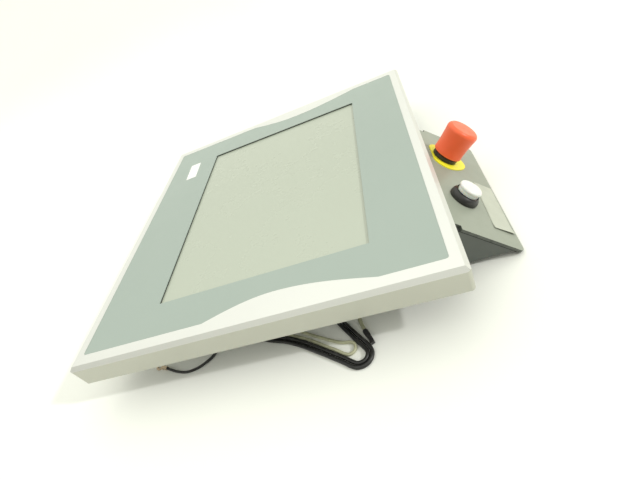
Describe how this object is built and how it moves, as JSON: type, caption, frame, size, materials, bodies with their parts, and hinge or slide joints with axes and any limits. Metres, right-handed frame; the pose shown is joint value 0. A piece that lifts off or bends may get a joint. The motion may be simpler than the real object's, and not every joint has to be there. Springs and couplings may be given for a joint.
{
  "type": "industrial touch panel",
  "caption": "Flat aluminium-framed industrial touch screen with an angled side box that carries an emergency stop and a pushbutton.",
  "frame": {"origin": "centre of the four rear mounting threads on the back face of the rear housing", "axes": "+Z out of the screen, +X towards the angled operator box, +Y along the long side of the screen"},
  "size_m": [0.4561, 0.4536, 0.0799],
  "materials": {
    "frame_aluminium": "fine bead blasted, clear anodised",
    "foil": "satin grey-green polyester",
    "blank_white": "smooth white",
    "screen_glass": "clear, faintly green",
    "foam": "black closed-cell foam",
    "display_cell": "dark polarised glass",
    "acrylic": "clear acrylic",
    "lamp_glass": "opal tube",
    "sheet_steel": "zinc plated sheet",
    "screw_steel": "zinc plated",
    "circuit_board": "green solder mask",
    "housing_paint": "light grey powder coat",
    "brass_bush": "turned",
    "heat_sink_aluminium": "extruded",
    "terminal_green": "moulded",
    "gland_plastic": "moulded dark grey",
    "grommet_rubber": "black",
    "box_paint": "dark grey-green powder coat",
    "plate_paint": "light grey-green satin paint",
    "label_paper": "coated, blank",
    "yellow_plastic": "moulded",
    "black_plastic": "moulded",
    "red_plastic": "smooth moulded",
    "white_lens": "translucent white",
    "white_plastic": "moulded",
    "cable_black": "smooth jacket",
    "cable_grey": "smooth jacket",
    "tinned_copper": "tinned"
  },
  "bodies": {
    "panel": {"front_frame": "frame_aluminium", "front_foil": "foil", "name_plate": "blank_white", "screen_gasket": "foam", "touch_glass": "screen_glass", "touch_gasket": "foam", "lcd_cell": "display_cell", "light_guide": "acrylic", "backlight_lamps": "lamp_glass", "lcd_chassis": "sheet_steel", "lcd_rails": "sheet_steel", "rail_screws": "screw_steel", "inverter_board": "circuit_board", "touch_controller": "circuit_board", "rear_plate": "sheet_steel", "rear_plate_screws": "screw_steel", "housing_gasket": "foam", "rear_housing": "housing_paint", "housing_screws": "screw_steel", "rear_cover": "housing_paint", "cover_screws": "screw_steel", "mount_bushes": "brass_bush", "main_board": "circuit_board", "board_standoffs": "brass_bush", "board_screws": "screw_steel", "heat_sink": "heat_sink_aluminium", "power_supply": "sheet_steel", "power_terminal": "terminal_green", "data_socket": "sheet_steel", "cable_glands": "gland_plastic", "gland_nuts": "gland_plastic", "lead_grommet": "grommet_rubber", "operator_box": "box_paint", "box_screws": "screw_steel", "box_grommets": "grommet_rubber", "plate_gasket": "foam", "operator_plate": "plate_paint", "plate_nuts": "screw_steel", "plate_label": "label_paper", "estop_ring": "yellow_plastic", "estop_collar": "black_plastic", "estop_locknut": "black_plastic", "estop_block": "black_plastic", "button_bezel": "black_plastic", "button_locknut": "black_plastic", "button_block": "black_plastic", "button_lamp": "lamp_glass", "harness_cable_a": "cable_black", "harness_cable_b": "cable_black", "signal_cable": "cable_grey", "plug_lead": "cable_grey", "plug_sleeve": "grommet_rubber", "plug_body": "black_plastic", "earth_lead": "cable_black", "earth_terminal": "tinned_copper"},
    "estop_stem": {"estop_plunger": "black_plastic"},
    "estop_knob": {"estop_head": "red_plastic"},
    "button_cap": {"button_plunger": "white_plastic", "button_lens": "white_lens"}
  },
  "joints": [
    {"name": "estop_press", "type": "slide", "parent": "panel", "child": "estop_stem", "axis": [-0.7071, 0, -0.7071], "range_m": [0, 0.0045]},
    {"name": "estop_twist", "type": "hinge", "parent": "estop_stem", "child": "estop_knob", "pos_m": [0.21671, -0.021, 0.04139], "axis": [0.7071, 0, 0.7071], "range_deg": [-45, 0], "stiffness_Nm_per_rad": 0.06},
    {"name": "button_press", "type": "slide", "parent": "panel", "child": "button_cap", "axis": [-0.7071, 0, -0.7071], "range_m": [0, 0.0035], "stiffness_N_per_m": 800}
  ]
}
